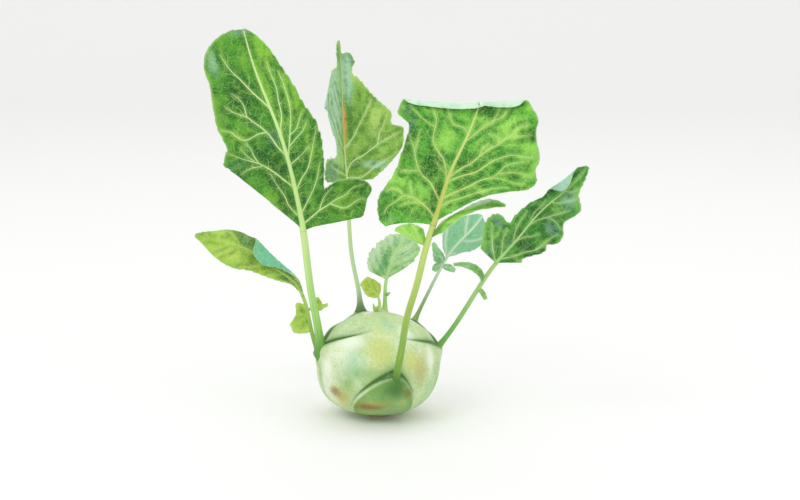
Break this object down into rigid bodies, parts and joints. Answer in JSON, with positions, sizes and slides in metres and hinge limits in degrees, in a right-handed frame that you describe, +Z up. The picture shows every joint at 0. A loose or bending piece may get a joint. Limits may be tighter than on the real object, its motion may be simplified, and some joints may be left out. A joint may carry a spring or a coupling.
{
  "type": "kohlrabi",
  "caption": "Fresh kohlrabi as picked: pale green swollen stem with long-stalked lobed leaves round it, standing on its trimmed root.",
  "frame": {"origin": "centre of the flat cut under the trimmed root", "axes": "+Z up out of the crown, -Y towards the front as pictured, +X to the right of that view"},
  "size_m": [0.3096, 0.2028, 0.3065],
  "materials": {
    "bulb": "satin",
    "stalk_left_tall": "satin",
    "blade_left_tall": "satin",
    "stalk_back_tall": "satin",
    "blade_back_tall": "satin",
    "stalk_front_tall": "satin",
    "blade_front_tall": "satin",
    "stalk_right": "satin",
    "blade_right": "satin",
    "stalk_back_right": "satin",
    "blade_back_right": "satin",
    "stalk_back_small": "satin",
    "blade_back_small": "satin",
    "stalk_left_low": "satin",
    "blade_left_low": "satin",
    "stalk_young": "satin",
    "blade_young": "satin"
  },
  "bodies": {
    "root": {"bulb": "bulb", "stalk_left_tall": "stalk_left_tall", "blade_left_tall": "blade_left_tall", "stalk_back_tall": "stalk_back_tall", "blade_back_tall": "blade_back_tall", "stalk_front_tall": "stalk_front_tall", "blade_front_tall": "blade_front_tall", "stalk_right": "stalk_right", "blade_right": "blade_right", "stalk_back_right": "stalk_back_right", "blade_back_right": "blade_back_right", "stalk_back_small": "stalk_back_small", "blade_back_small": "blade_back_small", "stalk_left_low": "stalk_left_low", "blade_left_low": "blade_left_low", "stalk_young": "stalk_young", "blade_young": "blade_young"}
  },
  "joints": []
}
